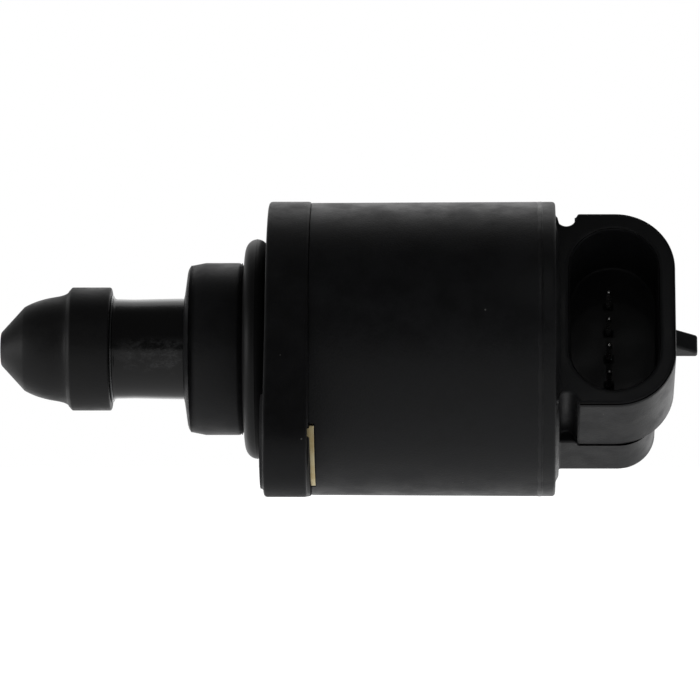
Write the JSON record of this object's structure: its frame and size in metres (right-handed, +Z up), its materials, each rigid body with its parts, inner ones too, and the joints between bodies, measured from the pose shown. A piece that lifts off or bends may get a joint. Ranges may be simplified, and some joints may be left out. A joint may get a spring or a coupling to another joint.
{
  "type": "idle air control valve",
  "caption": "Stepper-driven air valve: a pintle on a lead screw, a flanged nose with a seal ring, a round motor can and a side-facing socket.",
  "frame": {"origin": "centre of the seating plane on the fronts of the two screw pads, on the valve axis", "axes": "+X along the valve axis from the pintle to the connector; +Z up in the picture; the viewer of the picture looks along +Y"},
  "size_m": [0.085, 0.0514, 0.036],
  "materials": {
    "flange": "matt, slightly grainy",
    "seal": "satin",
    "housing": "matt",
    "passivated_plate": "yellow passivated steel",
    "bush": "sintered bronze",
    "pole": "plain pressed steel",
    "bobbin": "natural",
    "winding": "enamelled copper wire",
    "spring": "spring steel",
    "contact": "tinned",
    "rotor_plastic": "matt",
    "magnet": "sintered ferrite",
    "nut": "turned",
    "pintle": "matt",
    "ring": "bright",
    "tube": "greasy gloss",
    "screw": "rolled thread"
  },
  "bodies": {
    "housing": {"mounting_flange": "flange", "seal_ring": "seal", "motor_can": "housing", "rear_cap": "housing", "front_plate": "passivated_plate", "front_bush": "bush", "stator_cup_front": "pole", "inner_pole_front": "pole", "bobbin_front": "bobbin", "coil_front": "winding", "inner_pole_rear": "pole", "bobbin_rear": "bobbin", "coil_rear": "winding", "stator_cup_rear": "pole", "rear_plate": "passivated_plate", "rear_bush": "bush", "preload_spring": "spring", "terminal_1": "contact", "terminal_2": "contact", "terminal_3": "contact", "terminal_4": "contact"},
    "rotor": {"rotor_hub": "rotor_plastic", "rotor_magnet": "magnet", "lead_nut": "nut"},
    "plunger": {"pintle_head": "pintle", "retaining_ring": "ring", "plunger_tube": "tube", "lead_screw": "screw"}
  },
  "joints": [
    {"name": "rotor_spin", "type": "hinge", "parent": "housing", "child": "rotor", "pos_m": [0.017, 0, 0], "axis": [1, 0, 0], "range_deg": [0, 2880]},
    {"name": "pintle_slide", "type": "slide", "parent": "housing", "child": "plunger", "axis": [1, 0, 0], "range_m": [0, 0.008]}
  ],
  "couplings": [
    {"joint": "pintle_slide", "follows": "rotor_spin", "m_per_rad": 0.00015915}
  ]
}
